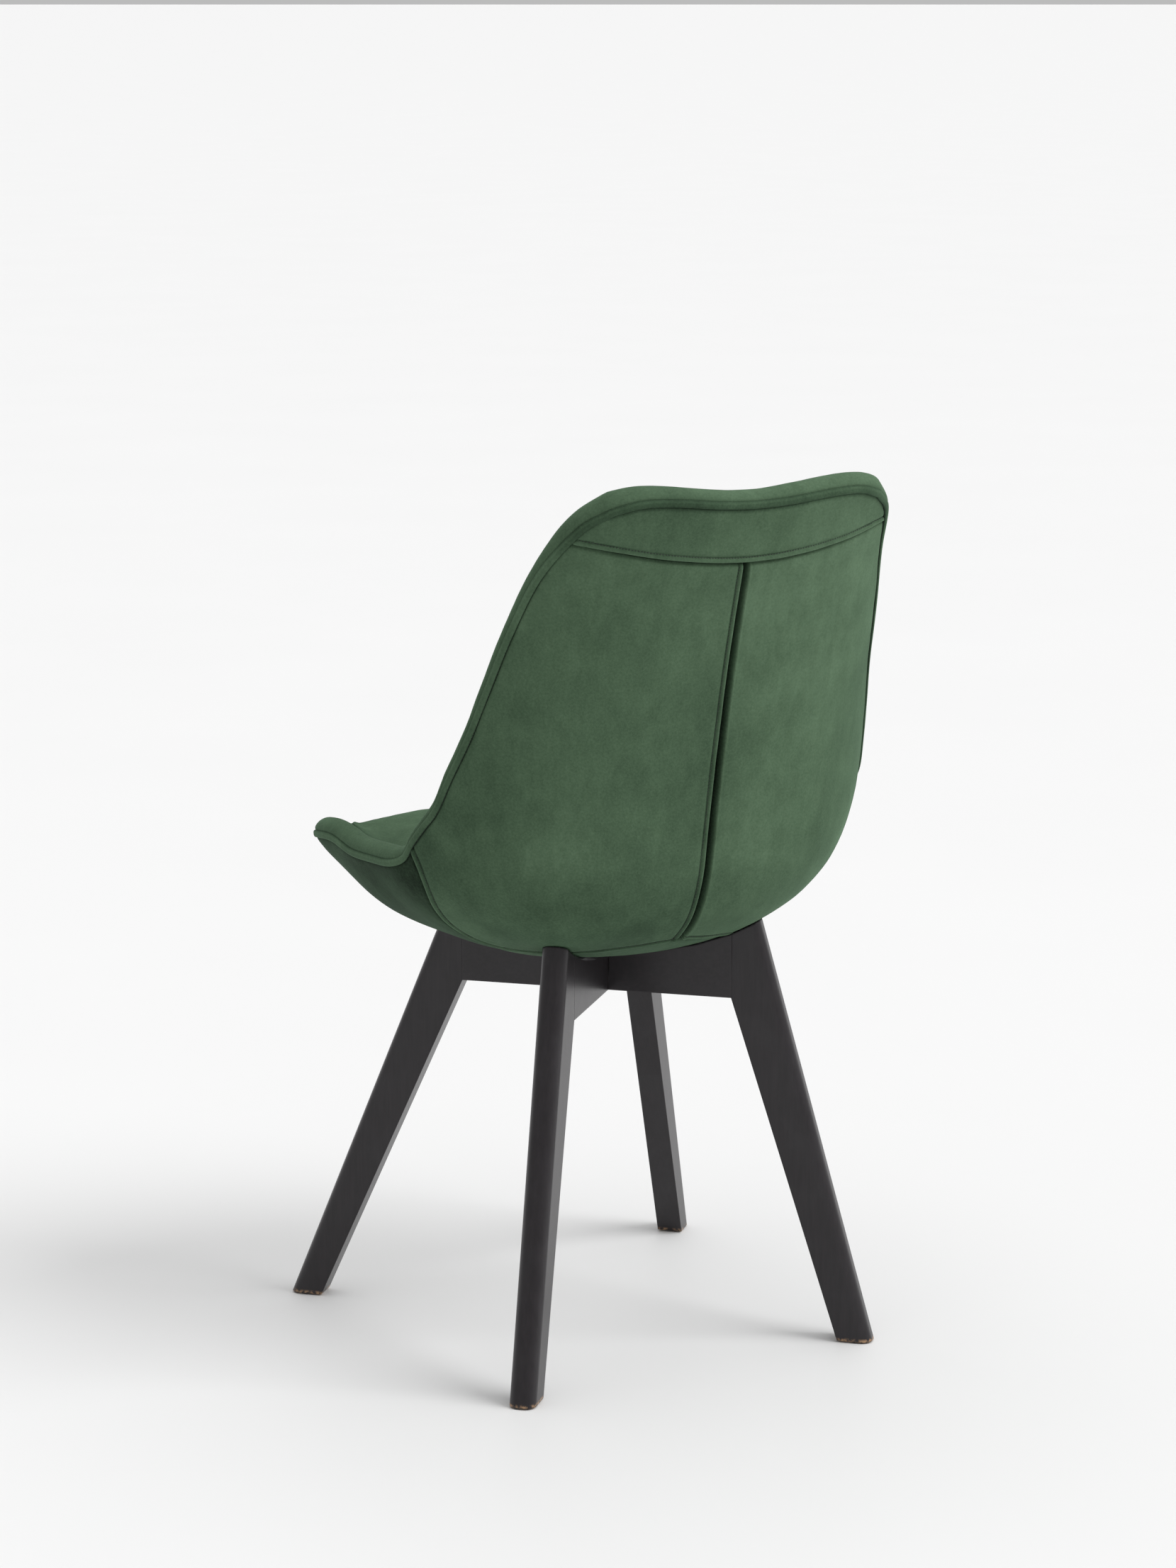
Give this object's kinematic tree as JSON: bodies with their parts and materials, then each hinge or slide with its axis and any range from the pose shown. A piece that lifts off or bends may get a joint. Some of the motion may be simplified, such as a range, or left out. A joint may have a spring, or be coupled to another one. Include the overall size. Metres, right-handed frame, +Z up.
{
  "type": "dining chair",
  "caption": "Upholstered bucket dining chair with a rolled rim and loose seat pad, bolted to a crossed base of splayed, tapered wooden legs.",
  "frame": {"origin": "on the floor, under the middle of the chair's width and length", "axes": "+Z up, the sitter faces -Y, +X on the sitter's left"},
  "size_m": [0.4748, 0.5201, 0.8513],
  "materials": {
    "black_wood": "black stain under satin lacquer",
    "beech": "bare",
    "felt": "pressed felt",
    "zinc_steel": "zinc plated",
    "insert_brass": "machined",
    "moulded_plastic": "moulded",
    "foam": "open-cell foam",
    "green_velvet": "short-pile velvet"
  },
  "bodies": {
    "root": {"leg_front_left": "black_wood", "leg_front_right": "black_wood", "leg_rear_left": "black_wood", "leg_rear_right": "black_wood", "cross_rail_lower": "black_wood", "cross_rail_upper": "black_wood", "leg_dowels": "beech", "foot_glides": "felt", "mounting_bolts": "zinc_steel", "bolt_washers": "zinc_steel", "threaded_inserts": "insert_brass", "shell_bosses": "moulded_plastic", "seat_shell": "moulded_plastic", "outer_foam": "foam", "inner_foam": "foam", "rim_foam": "foam", "rim_band": "green_velvet", "cover_back_left": "green_velvet", "cover_back_right": "green_velvet", "cover_top_band": "green_velvet", "cover_side_left": "green_velvet", "cover_side_right": "green_velvet", "cover_underside": "green_velvet", "cover_inner_back": "green_velvet", "cover_inner_seat": "green_velvet", "seat_pad_foam": "foam", "seat_pad_cover": "green_velvet", "seat_pad_underside": "green_velvet"}
  },
  "joints": []
}
